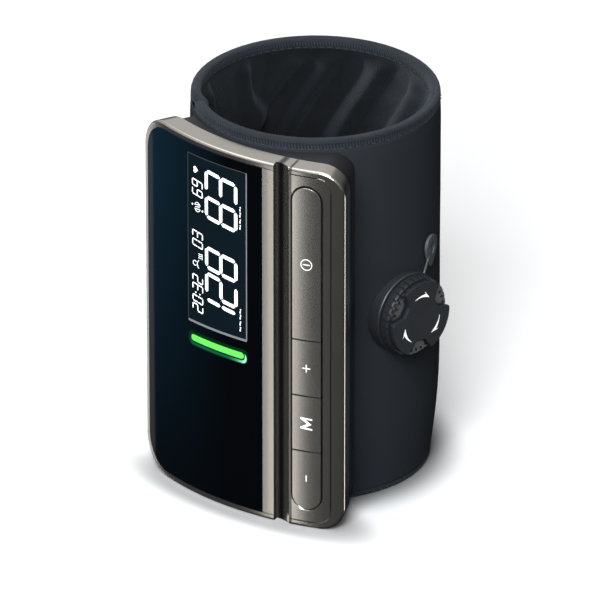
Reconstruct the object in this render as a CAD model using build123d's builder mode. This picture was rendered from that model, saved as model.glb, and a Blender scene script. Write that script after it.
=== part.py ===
"""Tubeless upper-arm blood pressure monitor: a curled fabric cuff with a display unit on its
front and a lace-tightening dial on its side.

Millimetres. Z is the axis of the cuff and the floor is Z = 0, where the cuff stands on its lower
binding. The display faces -Y. Directions round the cuff are angles from -Y towards +X.
"""
import os
from math import cos, radians, sin, sqrt

from build123d import *

os.makedirs("parts", exist_ok=True)

# ---------------------------------------------------------------- driving dimensions
# Cuff
cuff_height = 152.0
sleeve_radius = 47.3            # outside of the fabric, above the rounded lower end
sleeve_thickness = 0.8
tuck_height = 45.0              # the wall curves inwards below this height
tuck_depth = 3.6                # how far it has come in at the floor
binding_height = 4.6
lining_radius = 43.0            # the arm's side of the wall
lining_thickness = 0.6
overlap_angle = -40.0           # where the bindings' two ends meet
overlap_gap = 5.0               # degrees

# Display unit: a shallow upright arc
front_radius = 112.3
front_center = (3.7, 53.5)
unit_height = 148.5
unit_half_angle = 24.9
front_depth = 8.0               # depth of the painted front shell
front_wall = 3.0
corner_left = 14.5
corner_right = 10.0
saddle_radius = 47.6            # the back of the unit sits on the sleeve
saddle_wall = 1.6

# Keys
key_angle = 17.3                # direction the keys face
key_width = 11.4
key_bottom, key_top = 8.0, 141.4
key_splits = (32.2, 55.3, 78.5)
key_gap = 0.35
key_play = 0.45                 # gap round the keys in their slot

# Dial
dial_angle = 81.6
dial_height = 75.4
base_radius = 16.0
knob_radius = 15.5
base_face = 50.2                # distance of the base's front from the cuff's axis
knob_face = 57.2                # distance of the cap's face from the cuff's axis
dial_travel = 3.0               # pulling the knob out this far frees the lace

# Lace and its guide
guide_angle = 101.6
guide_height = 94.7
guide_radius = 4.4
lace_diameter = 0.9


# ---------------------------------------------------------------- helpers
def around(radius, angle, center=(0.0, 0.0)):
    """Point in plan at a radius and an angle from -Y towards +X."""
    return (center[0] + radius * sin(radians(angle)), center[1] - radius * cos(radians(angle)))


def facing(radius, angle, height, center=(0.0, 0.0)):
    """Upright plane that faces outwards at an angle: local X runs round the cuff, local Y is up."""
    turn = radians(angle)
    return Plane(
        origin=(*around(radius, angle, center), height),
        x_dir=(cos(turn), sin(turn), 0),
        z_dir=(sin(turn), -cos(turn), 0),
    )


def sector(inner, outer, start, end, center=(0.0, 0.0)):
    """Face of a ring's sector, in the sketch that is open."""
    middle = (start + end) / 2
    with BuildLine() as outline:
        ThreePointArc(*(around(outer, angle, center) for angle in (start, middle, end)))
        Line(around(outer, end, center), around(inner, end, center))
        ThreePointArc(*(around(inner, angle, center) for angle in (end, middle, start)))
        Line(around(inner, start, center), around(outer, start, center))
    make_face(outline.edges())


def curved_plate(inner, outer, start, end, low, high, center=(0.0, 0.0)):
    """Upright plate bent round a vertical axis."""
    with BuildPart() as plate:
        with BuildSketch(Plane.XY.offset(low)):
            sector(inner, outer, start, end, center)
        extrude(amount=high - low)
    return plate.part


def front_plate(inner, outer, start, end, low, high, radius_left=0.0, radius_right=0.0):
    """Plate on the unit's arc whose corners, seen from the front, are rounded."""
    with BuildPart() as plate:
        with BuildSketch(Plane.XY.offset(low)):
            sector(inner, outer, start, end, front_center)
        extrude(amount=high - low)
        for radius, side in ((radius_left, slice(0, 2)), (radius_right, slice(-2, None))):
            if radius:
                corners = plate.edges().filter_by(GeomType.LINE).filter_by(Axis.Z, reverse=True)
                fillet(corners.sort_by(Axis.X)[side], radius)
    return plate.part


def wall_radius(radius, height):
    """Radius of a wall layer at a height: straight above the tuck, an arc below it."""
    bend = (tuck_height**2 + tuck_depth**2) / (2 * tuck_depth)
    drop = max(tuck_height - height, 0.0)
    return radius - bend + sqrt(bend**2 - drop**2)


def wall_layer(inner, outer, low, high, start=0.0, sweep=360.0):
    """Layer of the cuff's wall between two radii, turned round the cuff's axis."""
    with BuildPart() as layer:
        with BuildSketch(Plane.XZ.rotated((0, 0, start - 90))):
            with BuildLine() as profile:
                Line((inner, high), (outer, high))
                if low < tuck_height:
                    halfway = (low + tuck_height) / 2
                    Line((outer, high), (outer, tuck_height))
                    ThreePointArc((outer, tuck_height), (wall_radius(outer, halfway), halfway),
                                  (wall_radius(outer, low), low))
                    Line((wall_radius(outer, low), low), (wall_radius(inner, low), low))
                    ThreePointArc((wall_radius(inner, low), low),
                                  (wall_radius(inner, halfway), halfway), (inner, tuck_height))
                    Line((inner, tuck_height), (inner, high))
                else:
                    Line((outer, high), (outer, low))
                    Line((outer, low), (inner, low))
                    Line((inner, low), (inner, high))
            make_face(profile.edges())
        revolve(axis=Axis.Z, revolution_arc=sweep)
    return layer.part


def write(node, name):
    """Label a finished piece and write its STEP file."""
    node.part.label = name
    export_step(node.part, f"parts/{name}.step")


# ---------------------------------------------------------------- cuff
# From the arm outwards: lining, air bladder, springy shell, lace gap, sleeve.
nipple_angle = 42.0
nipple_height = 100.0
nipple_radius = 1.6
wall_low, wall_high = 3.4, cuff_height - binding_height
post_radius = 2.4

with BuildPart() as nipple_hole:
    with BuildSketch(facing(30, nipple_angle, nipple_height)):
        Circle(nipple_radius + 0.3)
    extrude(amount=40)

with BuildPart() as dial_hole:
    with BuildSketch(facing(46, dial_angle, dial_height)):
        Circle(post_radius + 0.6)
    extrude(amount=10)

with BuildPart() as lace_hole:
    with BuildSketch(facing(46, guide_angle, guide_height)):
        Circle(lace_diameter / 2 + 0.4)
    extrude(amount=10)

plate_inner, plate_outer = 45.5, 46.3        # plate in the wall that carries the unit
mounting_angles = (-25.0, 33.0)
mounting_heights = (66.0, 126.0)
mounting_radius = 1.0
mounting_head_radius, mounting_head_height = 2.0, 1.1
with BuildPart() as mounting_bars:
    for angle in mounting_angles:
        for height in mounting_heights:
            with BuildSketch(facing(plate_inner + 0.1, angle, height)):
                Circle(mounting_radius)
            extrude(amount=saddle_radius + saddle_wall - plate_inner + 0.3)
            with BuildSketch(facing(saddle_radius + saddle_wall, angle, height)):
                Circle(mounting_head_radius)
            extrude(amount=mounting_head_height)

with BuildPart() as outer_sleeve:
    add(wall_layer(sleeve_radius - sleeve_thickness, sleeve_radius, wall_low, wall_high))
    for hole in (nipple_hole, dial_hole, lace_hole):
        add(hole.part, mode=Mode.SUBTRACT)
    add(mounting_bars.part, mode=Mode.SUBTRACT)
write(outer_sleeve, "outer_sleeve")

shell_inner, shell_outer = 44.7, 45.3
shell_margin, shell_opening = 2.0, 8.0      # short of the bindings, and degrees left open
with BuildPart() as shell_sheet:
    add(wall_layer(shell_inner, shell_outer, wall_low + shell_margin, wall_high - shell_margin,
                   overlap_angle + shell_opening / 2, 360 - shell_opening))
    add(nipple_hole.part, mode=Mode.SUBTRACT)
write(shell_sheet, "shell_sheet")

bladder_inner, bladder_outer = 43.7, 44.6
bladder_low, bladder_high = 14.0, 138.0
bladder_start, bladder_sweep = 12.0, 290.0  # degrees past the overlap, and degrees covered
with BuildPart() as air_bladder:
    add(wall_layer(bladder_inner, bladder_outer, bladder_low, bladder_high,
                   overlap_angle + bladder_start, bladder_sweep))
    with BuildSketch(facing(bladder_inner + 0.3, nipple_angle, nipple_height)):
        Circle(nipple_radius + 0.02)
    extrude(amount=10, mode=Mode.SUBTRACT)
write(air_bladder, "air_bladder")

with BuildPart() as inner_lining:
    add(wall_layer(lining_radius, lining_radius + lining_thickness, wall_low, wall_high))
write(inner_lining, "inner_lining")


def binding(low, high, end_radius):
    """Folded tape over one end of the wall, open where its two ends meet."""
    at = (low + high) / 2
    outer = wall_radius(sleeve_radius, at) - 0.3
    inner = wall_radius(lining_radius, at) + 0.1
    with BuildPart() as tape:
        with BuildSketch(Plane.XZ.rotated((0, 0, overlap_angle + overlap_gap / 2 - 90))) as fold:
            with Locations(((inner + outer) / 2, at)):
                Rectangle(outer - inner, high - low)
            fillet(fold.vertices(), end_radius)
        revolve(axis=Axis.Z, revolution_arc=360 - overlap_gap)
    return tape.part


top_fold_radius, bottom_fold_radius = 1.6, 1.3
with BuildPart() as top_binding:
    add(binding(wall_high + 0.05, cuff_height, top_fold_radius))
write(top_binding, "top_binding")

with BuildPart() as bottom_binding:
    add(binding(0, wall_low - 0.05, bottom_fold_radius))
write(bottom_binding, "bottom_binding")

# Stretch mesh between the meeting ends of the upper binding
gusset_half_angle = overlap_gap / 2 - 0.15
with BuildPart() as overlap_gusset:
    add(curved_plate(lining_radius + 0.4, sleeve_radius - 1.2, overlap_angle - gusset_half_angle,
                     overlap_angle + gusset_half_angle, wall_high + 0.05, cuff_height - 1.4))
write(overlap_gusset, "overlap_gusset")

# Plate sewn into the cuff's wall that the display unit is screwed to
plate_start, plate_end = -38.0, 52.0
plate_low, plate_high = 58.0, 134.0
with BuildPart() as cuff_plate:
    add(curved_plate(plate_inner, plate_outer, plate_start, plate_end, plate_low, plate_high))
    add(nipple_hole.part, mode=Mode.SUBTRACT)
    add(mounting_bars.part, mode=Mode.SUBTRACT)
write(cuff_plate, "cuff_plate")

# ---------------------------------------------------------------- display unit: front shell
rear_of_front = front_radius - front_depth
inside_front = front_radius - front_wall
glass_start, glass_end = -23.6, 8.0
glass_low, glass_high = 2.3, 146.2
glass_corner = 12.8
glass_thickness = 1.2
seam_end = 22.2
seam_corner_right = 6.0
groove_start, groove_end = 10.4, 13.7
groove_depth = 2.8
window = (-13.3, 5.6, 59.0, 144.6)      # opening behind the glass: start, end, low, high
key_plane = facing(front_radius, key_angle, (key_bottom + key_top) / 2, front_center)

with BuildPart() as groove:
    with BuildSketch(Plane.XY.offset(-1)):
        with BuildLine() as cove:
            Line(around(front_radius + 2, groove_start, front_center),
                 around(front_radius - groove_depth, groove_start, front_center))
            ThreePointArc(
                around(front_radius - groove_depth, groove_start, front_center),
                around(front_radius - groove_depth * 0.82, groove_start + 1.5, front_center),
                around(front_radius + 0.05, groove_end, front_center))
            Line(around(front_radius + 0.05, groove_end, front_center),
                 around(front_radius + 2, groove_end, front_center))
            Line(around(front_radius + 2, groove_end, front_center),
                 around(front_radius + 2, groove_start, front_center))
        make_face(cove.edges())
    extrude(amount=unit_height + 2)

seam_width = 0.35
with BuildPart() as seam:
    add(front_plate(front_radius - 0.6, front_radius + 2, glass_start, seam_end,
                    glass_low, glass_high, glass_corner, seam_corner_right))
    add(front_plate(front_radius - 0.7, front_radius + 2.1, glass_start + 0.2, seam_end - 0.2,
                    glass_low + seam_width, glass_high - seam_width,
                    glass_corner - seam_width, seam_corner_right - seam_width),
        mode=Mode.SUBTRACT)

slot_length, slot_width = key_top - key_bottom + 2 * key_play, key_width + 2 * key_play
slot_bevel = 0.45
with BuildPart() as key_slot:
    with BuildSketch(key_plane.offset(-12)):
        SlotOverall(slot_length, slot_width, rotation=90)
    extrude(amount=20)
    with BuildSketch(key_plane.offset(-slot_bevel)):
        SlotOverall(slot_length, slot_width, rotation=90)
    extrude(amount=2, taper=-45)

screw_radius = 1.1
screw_heights = (12.5, unit_height - 12.5)
boss_radius = 2.9
# Each pair of screws: X, then Y of the head's seat, of the bosses' meeting face, of the front
# boss's foot and of the screw's tip. The right-hand pair bites into the web behind the groove.
screw_pairs = ((-33.5, -37.6, -43.0, -49.7, -48.6), (23.1, -44.4, -48.3, -51.0, -52.8))


def along_y(radius, start, end, x, height):
    """Round bar along Y."""
    with BuildPart() as bar:
        with BuildSketch(Plane(origin=(x, start, height), x_dir=(1, 0, 0), z_dir=(0, 1, 0))):
            Circle(radius)
        extrude(amount=end - start)
    return bar.part


with BuildPart() as front_housing:
    add(front_plate(rear_of_front, front_radius, -unit_half_angle, unit_half_angle,
                    0, unit_height, corner_left, corner_right))
    front_face = front_housing.faces().filter_by(GeomType.CYLINDER).sort_by(SortBy.AREA)[-1]
    fillet(front_face.edges(), 1.1)
    # recess for the glass, window behind it, and the two chambers behind the front wall
    add(front_plate(front_radius - glass_thickness - 0.1, front_radius + 2, glass_start, glass_end,
                    glass_low, glass_high, glass_corner), mode=Mode.SUBTRACT)
    add(curved_plate(rear_of_front - 1, front_radius, *window, front_center),
        mode=Mode.SUBTRACT)
    for start, end in ((-23.0, 8.4), (13.0, 23.2)):
        add(front_plate(rear_of_front - 1, inside_front, start, end, 3.0, unit_height - 3.0,
                        corner_left - 3 if start < 0 else 0, 0 if start < 0 else corner_right - 3),
            mode=Mode.SUBTRACT)
    add(groove.part, mode=Mode.SUBTRACT)
    add(seam.part, mode=Mode.SUBTRACT)
    add(key_slot.part, mode=Mode.SUBTRACT)
    for x, seat, split, boss_foot, tip in screw_pairs:
        for height in screw_heights:
            add(along_y(boss_radius, boss_foot, split - 0.05, x, height))
            add(along_y(screw_radius, tip, seat, x, height), mode=Mode.SUBTRACT)
write(front_housing, "front_housing")

with BuildPart() as display_glass:
    add(front_plate(front_radius - glass_thickness, front_radius, glass_start + 0.08,
                    glass_end - 0.08, glass_low + 0.15, glass_high - 0.15, glass_corner - 0.15))
    outer_face = display_glass.faces().filter_by(GeomType.CYLINDER).sort_by(SortBy.AREA)[-1]
    chamfer(outer_face.edges(), 0.25)
write(display_glass, "display_glass")

# ---------------------------------------------------------------- display and lamp
lcd_angle = (window[0] + window[1]) / 2
lcd_low, lcd_high = 69.6, 143.4
lcd_face = 109.5
lcd_width, lcd_thickness = 33.0, 2.2
with BuildPart() as lcd_module:
    with BuildSketch(facing(lcd_face - lcd_thickness, lcd_angle, (lcd_low + lcd_high) / 2,
                            front_center)):
        Rectangle(lcd_width, lcd_high - lcd_low)
    extrude(amount=lcd_thickness)
write(lcd_module, "lcd_module")

lamp_height = 65.4
lamp_length, lamp_width, lamp_end_radius = 28.5, 2.6, 1.2
with BuildPart() as light_bar:
    with BuildSketch(facing(lcd_face - lcd_thickness, lcd_angle, lamp_height, front_center)):
        RectangleRounded(lamp_length, lamp_width, lamp_end_radius)
    extrude(amount=lcd_thickness)
write(light_bar, "light_bar")

# ---------------------------------------------------------------- keys
key_stroke = 0.7
key_proud = 0.4
key_body_depth = 3.4
key_chamfer = 0.1
flange_thickness = 0.7

key_edges = (key_bottom, *key_splits, key_top)
key_names = ("minus_button", "memory_button", "plus_button", "power_button")
for name, low, high in zip(key_names, key_edges[:-1], key_edges[1:]):
    bottom = low + (key_gap / 2 if low > key_bottom else 0)
    top = high - (key_gap / 2 if high < key_top else 0)
    middle = (bottom + top) / 2
    with BuildPart() as key:
        with BuildSketch(key_plane.offset(-key_body_depth)):
            SlotOverall(key_top - key_bottom, key_width, rotation=90)
        extrude(amount=key_body_depth + 2)
        with BuildSketch(facing(front_radius - key_body_depth, key_angle, middle, front_center)):
            Rectangle(key_width + 4, top - bottom)
        extrude(amount=key_body_depth + 2, mode=Mode.INTERSECT)
        add(curved_plate(front_radius - key_body_depth - 2, front_radius + key_proud, 10, 25,
                         0, unit_height, front_center), mode=Mode.INTERSECT)
        face = key.faces().filter_by(GeomType.CYLINDER).sort_by(Axis.Y)[0]
        chamfer(face.edges(), key_chamfer)
        flange_low = bottom + (0.0 if low > key_bottom else key_width / 2)
        flange_high = top - (0.0 if high < key_top else key_width / 2)
        with BuildSketch(facing(front_radius - key_body_depth - flange_thickness, key_angle,
                                (flange_low + flange_high) / 2, front_center)):
            Rectangle(key_width + 3, flange_high - flange_low - 0.4)
        extrude(amount=flange_thickness)
    write(key, name)

mat_back, mat_thickness = 6.0, 1.0
mat_width, mat_length = 14.4, 133.0
with BuildPart() as keypad_mat:
    with BuildSketch(key_plane.offset(-mat_back)):
        Rectangle(mat_width, mat_length)
    extrude(amount=mat_thickness)
write(keypad_mat, "keypad_mat")

key_board_thickness = 1.1
with BuildPart() as key_board:
    with BuildSketch(key_plane.offset(-mat_back - key_board_thickness - 0.1)):
        Rectangle(mat_width, mat_length + 1)
    extrude(amount=key_board_thickness)
write(key_board, "key_board")

# ---------------------------------------------------------------- rear housing
rear_depth = 24.0
rear_half_angle = 23.7
screw_head_radius = 2.2
screw_head_height = 1.6

with BuildPart() as housing_screws:
    for x, seat, split, boss_foot, tip in screw_pairs:
        for height in screw_heights:
            add(along_y(screw_radius, tip, seat + 0.5, x, height))
            add(along_y(screw_head_radius, seat, seat + screw_head_height, x, height))
write(housing_screws, "housing_screws")

with BuildPart() as mounting_screws:
    add(mounting_bars.part)
write(mounting_screws, "mounting_screws")

with BuildPart() as rear_space:
    add(front_plate(front_radius - rear_depth + saddle_wall, rear_of_front + 1,
                    -rear_half_angle + 1.0, rear_half_angle - 1.0, 2.8, unit_height - 2.8,
                    corner_left - 3.5, corner_right - 3.5))
    with BuildSketch():
        Circle(saddle_radius + saddle_wall)
    extrude(amount=unit_height, mode=Mode.SUBTRACT)

port_height = 124.0
port_width, port_gap = 9.0, 3.2
side = facing(front_radius - 11.4, -rear_half_angle, port_height, front_center)
port_plane = Plane(origin=side.origin, x_dir=(0, 0, 1), z_dir=-side.x_dir)

with BuildPart() as rear_housing:
    add(front_plate(front_radius - rear_depth, rear_of_front - 0.05, -rear_half_angle,
                    rear_half_angle, 1.0, unit_height - 1.0, corner_left - 1, corner_right - 1))
    add(rear_space.part, mode=Mode.SUBTRACT)
    for x, seat, split, boss_foot, tip in screw_pairs:
        for height in screw_heights:
            add(along_y(boss_radius, split, seat + screw_head_height, x, height))
    with BuildSketch():
        Circle(saddle_radius)
    extrude(amount=unit_height, mode=Mode.SUBTRACT)
    for x, seat, split, boss_foot, tip in screw_pairs:
        for height in screw_heights:
            add(along_y(screw_radius + 0.1, tip, seat + 4, x, height), mode=Mode.SUBTRACT)
            add(along_y(screw_head_radius + 0.2, seat - 0.02, seat + 9, x, height),
                mode=Mode.SUBTRACT)
    add(mounting_bars.part, mode=Mode.SUBTRACT)
    add(nipple_hole.part, mode=Mode.SUBTRACT)
    with BuildSketch(port_plane.offset(-4)):
        SlotOverall(port_width + 0.3, port_gap + 0.3)
    extrude(amount=10, mode=Mode.SUBTRACT)
write(rear_housing, "rear_housing")

port_depth = 6.0
with BuildPart() as usb_port:
    with BuildSketch(port_plane.offset(-port_depth)):
        SlotOverall(port_width, port_gap)
    extrude(amount=port_depth)
    with BuildSketch(port_plane.offset(-port_depth + 0.8)):
        SlotOverall(port_width - 0.6, port_gap - 0.6)
    extrude(amount=port_depth, mode=Mode.SUBTRACT)
    with BuildSketch(port_plane.offset(-port_depth + 0.5)):
        Rectangle(port_width - 2.6, 0.7)
    extrude(amount=port_depth - 1.4)
write(usb_port, "usb_port")

# ---------------------------------------------------------------- electronics
board_front, board_rear = -52.2, -51.1
board_middle = (-2.0, 74.0)
board_width, board_height, board_corner = 40.0, 130.0, 2.0
with BuildPart() as main_board:
    with BuildSketch(Plane(origin=(board_middle[0], board_front, board_middle[1]),
                           x_dir=(1, 0, 0), z_dir=(0, 1, 0))) as board:
        Rectangle(board_width, board_height)
        fillet(board.vertices(), board_corner)
    extrude(amount=board_rear - board_front)
write(main_board, "main_board")

sensor_size = (7.0, 1.5, 7.0)
with BuildPart() as pressure_sensor:
    with Locations((11.0, board_rear + sensor_size[1] / 2, nipple_height)):
        Box(*sensor_size)
    chamfer(pressure_sensor.edges().filter_by(Axis.Y), 0.6)
write(pressure_sensor, "pressure_sensor")

chip_size = (9.0, 1.0, 9.0)
with BuildPart() as processor_chip:
    with Locations((-4.0, board_rear + 0.05 + chip_size[1] / 2, 112)):
        Box(*chip_size)
    chamfer(processor_chip.edges().filter_by(Axis.Y), 0.5)
write(processor_chip, "processor_chip")

cell_place = (-31.5, -44.2)
cell_radius, cell_length = 4.8, 42.0
cell_feet = (18.0, 64.0)
terminal_radius, terminal_height = 1.6, 1.0
with BuildPart() as battery_cells:
    for foot in cell_feet:
        with BuildSketch(Plane.XY.offset(foot)):
            with Locations(cell_place):
                Circle(cell_radius)
        extrude(amount=cell_length)
        with BuildSketch(Plane.XY.offset(foot + cell_length)):
            with Locations(cell_place):
                Circle(terminal_radius)
        extrude(amount=terminal_height)
write(battery_cells, "battery_cells")

# ---------------------------------------------------------------- pump, valve and air tube
pump_reach = 54.5                       # distance of the pump's axis from the cuff's
pump_place = around(pump_reach, nipple_angle)
can_radius, can_wall = 4.7, 0.7
can_low, can_high = 22.0, 46.0
shaft_radius, bearing_play = 0.75, 0.04
head_low, head_high = 46.1, 57.0


def upright(radius, low, high, hole=0.0, place=pump_place):
    """Round bar or tube along Z."""
    with BuildPart() as bar:
        with BuildSketch(Plane.XY.offset(low)):
            with Locations(place):
                Circle(radius)
                if hole:
                    Circle(hole, mode=Mode.SUBTRACT)
        extrude(amount=high - low)
    return bar.part


with BuildPart() as pump_motor:
    add(upright(can_radius, can_low, can_high, can_radius - can_wall))
    add(upright(can_radius, can_low, can_low + 1, shaft_radius + bearing_play))
    add(upright(can_radius, can_high - 1, can_high, shaft_radius + bearing_play))
write(pump_motor, "pump_motor")

armature_radius = 3.4
eccentric_radius, eccentric_throw = 2.0, 0.7
eccentric_place = (pump_place[0] + eccentric_throw, pump_place[1])
with BuildPart() as pump_rotor:
    add(upright(shaft_radius, can_low + 0.2, head_high - 3.2))
    add(upright(armature_radius, can_low + 3, can_high - 3))
    add(upright(eccentric_radius, head_low + 1.6, head_high - 4.4, place=eccentric_place))
write(pump_rotor, "pump_rotor")

chamber_radius = 3.3
outlet_radius, outlet_length = 1.3, 4.0
with BuildPart() as pump_head:
    add(upright(can_radius, head_low, head_high))
    add(upright(chamber_radius, head_low + 0.8, head_high - 2.8), mode=Mode.SUBTRACT)
    add(upright(shaft_radius + 0.3, head_low - 1, head_low + 2), mode=Mode.SUBTRACT)
    add(upright(outlet_radius, head_high - 0.01, head_high + outlet_length))
write(pump_head, "pump_head")

valve_low, valve_high = 61.1, 78.0
valve_radius, plunger_radius = 4.4, 1.4
with BuildPart() as release_valve:
    add(upright(valve_radius, valve_low, valve_high))
    add(upright(plunger_radius + 0.05, valve_low + 4, valve_high - 1.5), mode=Mode.SUBTRACT)
write(release_valve, "release_valve")

with BuildPart() as valve_plunger:
    add(upright(plunger_radius, valve_low + 5.6, valve_high - 3.2))
write(valve_plunger, "valve_plunger")

tube_radius = 1.5
nipple_start, nipple_end = bladder_inner + 0.35, 51.6
with BuildPart() as air_tube:
    foot = (*pump_place, valve_high + 0.05)
    top = (*pump_place, nipple_height)
    end = (*around(nipple_end, nipple_angle), nipple_height)
    with BuildLine() as route:
        FilletPolyline(foot, top, end, radius=2.4)
    with BuildSketch(Plane(origin=foot, z_dir=(0, 0, 1))):
        Circle(tube_radius)
    sweep(path=route.line)
write(air_tube, "air_tube")

with BuildPart() as air_nipple:
    with BuildSketch(facing(nipple_start, nipple_angle, nipple_height)):
        Circle(nipple_radius)
    extrude(amount=nipple_end - 0.05 - nipple_start)
    with BuildSketch(facing(saddle_radius + saddle_wall + 0.4, nipple_angle, nipple_height)):
        Circle(nipple_radius + 0.9)
    extrude(amount=0.8)
write(air_nipple, "air_nipple")

# ---------------------------------------------------------------- dial
dial_plane = facing(0, dial_angle, dial_height)


def disc(outer, inner, low, high):
    """Ring on the dial's axis, between two distances from the cuff's axis."""
    with BuildPart() as ring:
        with BuildSketch(dial_plane.offset(low)):
            Circle(outer)
            if inner:
                Circle(inner, mode=Mode.SUBTRACT)
        extrude(amount=high - low)
    return ring.part


# Route of the lace: out of the spool's well, across the sleeve, under the guide, through the
# eyelet into the wall, and round between shell and sleeve to its anchor.
lace_level = 48.95
wall_lace_radius = 45.93
anchor_angle = guide_angle + 28.6


def at_angle(radius, angle, height):
    """Point at a distance from the cuff's axis."""
    return Vector(*around(radius, angle), height)


lace_start = dial_plane.offset(lace_level).from_local_coords(Vector(5.9, 7.3, 0))
lace_port = dial_plane.offset(lace_level).from_local_coords(Vector(9.2, 13.2, 0))
lace_eyelet = at_angle(48.1, guide_angle, guide_height)
lace_turns = [at_angle(wall_lace_radius, guide_angle + 7 * step, guide_height)
              for step in range(5)]
lace_radii = [6.0, 1.0, 0.9, 40.0, 40.0, 40.0]


def straight_bar(start, end, radius):
    """Round bar between two points."""
    with BuildPart() as bar:
        with BuildSketch(Plane(origin=start, z_dir=end - start)):
            Circle(radius)
        extrude(amount=(end - start).length)
    return bar.part


with BuildPart() as tension_lace:
    with BuildLine() as route:
        FilletPolyline(lace_start, lace_port, lace_eyelet, *lace_turns, radius=lace_radii)
    with BuildSketch(Plane(origin=lace_start, z_dir=lace_port - lace_start)):
        Circle(lace_diameter / 2)
    sweep(path=route.line)
write(tension_lace, "tension_lace")

with BuildPart() as lace_anchor:
    add(curved_plate(45.4, 46.4, anchor_angle, anchor_angle + 4, guide_height - 3,
                     guide_height + 3))
write(lace_anchor, "lace_anchor")

sleeve_gap = 0.1
guide_thickness = 1.5
guide_recess_depth = 0.5
with BuildPart() as lace_guide:
    with BuildSketch(facing(40, guide_angle, guide_height)) as drop:
        with Locations((0, 1.6)):
            Circle(guide_radius)
        with Locations((-1.0, -4.6)):
            Circle(1.7)
        make_hull()
    extrude(amount=20)
    add(curved_plate(sleeve_radius + sleeve_gap, sleeve_radius + guide_thickness,
                     guide_angle - 12, guide_angle + 12, 80, 110), mode=Mode.INTERSECT)
    top_face = lace_guide.faces().sort_by(SortBy.AREA)[-1]
    chamfer(top_face.edges(), 0.4)
    with BuildSketch(facing(sleeve_radius + guide_thickness - guide_recess_depth, guide_angle,
                            guide_height)):
        with Locations((0, 0.9)):
            Ellipse(1.9, 2.5)
    extrude(amount=10, mode=Mode.SUBTRACT)
    with BuildSketch(facing(45, guide_angle, guide_height)):
        SlotOverall(3.6, 1.7, rotation=70)
    extrude(amount=10, mode=Mode.SUBTRACT)
    add(straight_bar(lace_port, lace_eyelet, lace_diameter / 2 + 0.2), mode=Mode.SUBTRACT)
write(lace_guide, "lace_guide")

well_radius, well_floor = 11.4, 48.4
ratchet_teeth = 24
with BuildPart() as dial_base:
    add(disc(base_radius, 0, 43.5, base_face))
    rim = dial_base.edges().filter_by(GeomType.CIRCLE).sort_by(Axis.X)[-1]
    fillet(rim, 0.8)
    with BuildSketch():
        Circle(sleeve_radius + sleeve_gap)
    extrude(amount=unit_height, mode=Mode.SUBTRACT)
    add(disc(well_radius, 0, well_floor, base_face + 1), mode=Mode.SUBTRACT)
    add(disc(post_radius + 0.02, 0, 46, well_floor + 1), mode=Mode.SUBTRACT)
    with BuildSketch(dial_plane.offset(49.5)):
        with PolarLocations(well_radius, ratchet_teeth):
            RegularPolygon(1.0, 3)
    extrude(amount=3, mode=Mode.SUBTRACT)
    add(straight_bar(lace_start, lace_port * 1.2 - lace_start * 0.2, lace_diameter / 2 + 0.25),
        mode=Mode.SUBTRACT)
write(dial_base, "dial_base")

# Plate inside the sleeve that the post grows from
post_end = 55.2
with BuildPart() as dial_post:
    add(curved_plate(plate_inner, plate_outer, 66, 97, 58, 93))
    add(disc(post_radius, 0, plate_outer - 0.4, post_end))
write(dial_post, "dial_post")

spin_play = 0.05
spool_low, spool_high = well_floor + 0.05, 49.45
hub_radius, spool_radius, winding_radius = 6.0, 8.6, 7.8
cheek_thickness = 0.15
with BuildPart() as lace_spool:
    add(disc(hub_radius, post_radius + spin_play, spool_low, spool_high))
    add(disc(spool_radius, post_radius + spin_play, spool_low, spool_low + cheek_thickness))
    add(disc(spool_radius, post_radius + spin_play, spool_high - cheek_thickness, spool_high))
write(lace_spool, "lace_spool")

with BuildPart() as lace_winding:
    add(disc(winding_radius, hub_radius + 0.02, spool_low + cheek_thickness + 0.05,
             spool_high - cheek_thickness - 0.05))
write(lace_winding, "lace_winding")

detent_radius = 3.6
detent_low, detent_high = 49.6, 51.2
with BuildPart() as detent_sleeve:
    add(disc(detent_radius, post_radius + spin_play, detent_low, detent_high))
write(detent_sleeve, "detent_sleeve")

retainer_radius = 3.7
with BuildPart() as post_retainer:
    add(disc(retainer_radius, 0, detent_high + dial_travel + 0.3, post_end + 0.05))
    add(disc(post_radius + 0.01, 0, 50, post_end), mode=Mode.SUBTRACT)
write(post_retainer, "post_retainer")

knob_low, knob_step, web_top = 50.6, 54.4, 55.4
web_radius = 13.9
grip_ribs = 34
border_teeth = 34
with BuildPart() as dial_knob:
    add(disc(knob_radius, detent_radius + spin_play, knob_low, knob_step))
    grip_edges = dial_knob.edges().filter_by(GeomType.CIRCLE).filter_by(
        lambda edge: abs(edge.radius - knob_radius) < 0.01)
    chamfer(grip_edges, 0.5)
    add(disc(web_radius, 0, knob_step - 0.5, web_top))
    add(disc(12.2, 0, knob_low + 0.8, knob_step - 0.4), mode=Mode.SUBTRACT)
    add(disc(8.6, 0, knob_step - 1, web_top + 1), mode=Mode.SUBTRACT)
    with BuildSketch(dial_plane.offset(knob_low + 1.1)):
        with PolarLocations(knob_radius, grip_ribs):
            Rectangle(1.3, 0.9)
    extrude(amount=knob_step - knob_low, mode=Mode.SUBTRACT)
    with BuildSketch(dial_plane.offset(knob_step + 0.05)):
        with PolarLocations(web_radius - 0.5, border_teeth):
            Rectangle(2.0, 1.1)
    extrude(amount=2, mode=Mode.SUBTRACT)
write(dial_knob, "dial_knob")

with BuildPart() as pawl_ring:
    with BuildSketch(dial_plane.offset(49.55)):
        Circle(10.4)
        with PolarLocations(10.4, 3):
            Rectangle(1.6, 1.1)
        Circle(9.2, mode=Mode.SUBTRACT)
    extrude(amount=1.0)
write(pawl_ring, "pawl_ring")

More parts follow.
